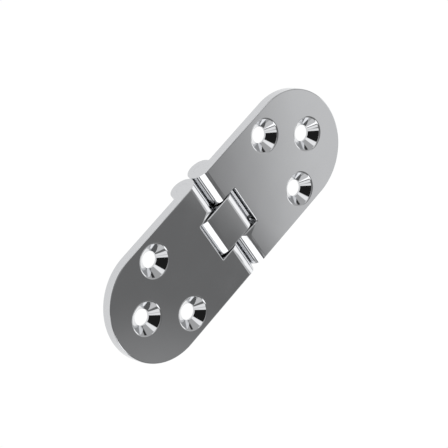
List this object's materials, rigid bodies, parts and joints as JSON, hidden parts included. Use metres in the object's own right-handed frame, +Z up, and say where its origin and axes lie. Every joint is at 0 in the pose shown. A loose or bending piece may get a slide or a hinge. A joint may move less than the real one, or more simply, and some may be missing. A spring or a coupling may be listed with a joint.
{
  "type": "drop leaf table hinge",
  "caption": "Flush hinge for a drop leaf or flip-top table: round-ended leaves with countersunk screw holes fold face to face about pins in a short centre link.",
  "frame": {"origin": "under the middle of the joint, level with the bottoms of the barrels and the link", "axes": "+X along the open hinge towards the flap leaf, +Y along the pins, +Z up out of the show face"},
  "size_m": [0.08, 0.0286, 0.0062],
  "materials": {
    "leaf_chrome": "polished chrome plate on a zinc die casting",
    "link_chrome": "polished chrome plate on a zinc die casting",
    "pin_steel": "ground steel, plated with the hinge"
  },
  "bodies": {
    "fixed_leaf": {"fixed_leaf": "leaf_chrome", "fixed_leaf_pin": "pin_steel"},
    "centre_link": {"centre_link": "link_chrome"},
    "flap_leaf": {"flap_leaf": "leaf_chrome", "flap_leaf_pin": "pin_steel"}
  },
  "joints": [
    {"name": "link_pivot", "type": "hinge", "parent": "fixed_leaf", "child": "centre_link", "pos_m": [-0.0032, 0, 0.0031], "axis": [0, -1, 0], "range_deg": [0, 90]},
    {"name": "flap_pivot", "type": "hinge", "parent": "centre_link", "child": "flap_leaf", "pos_m": [0.0032, 0, 0.0031], "axis": [0, -1, 0], "range_deg": [0, 90]}
  ]
}
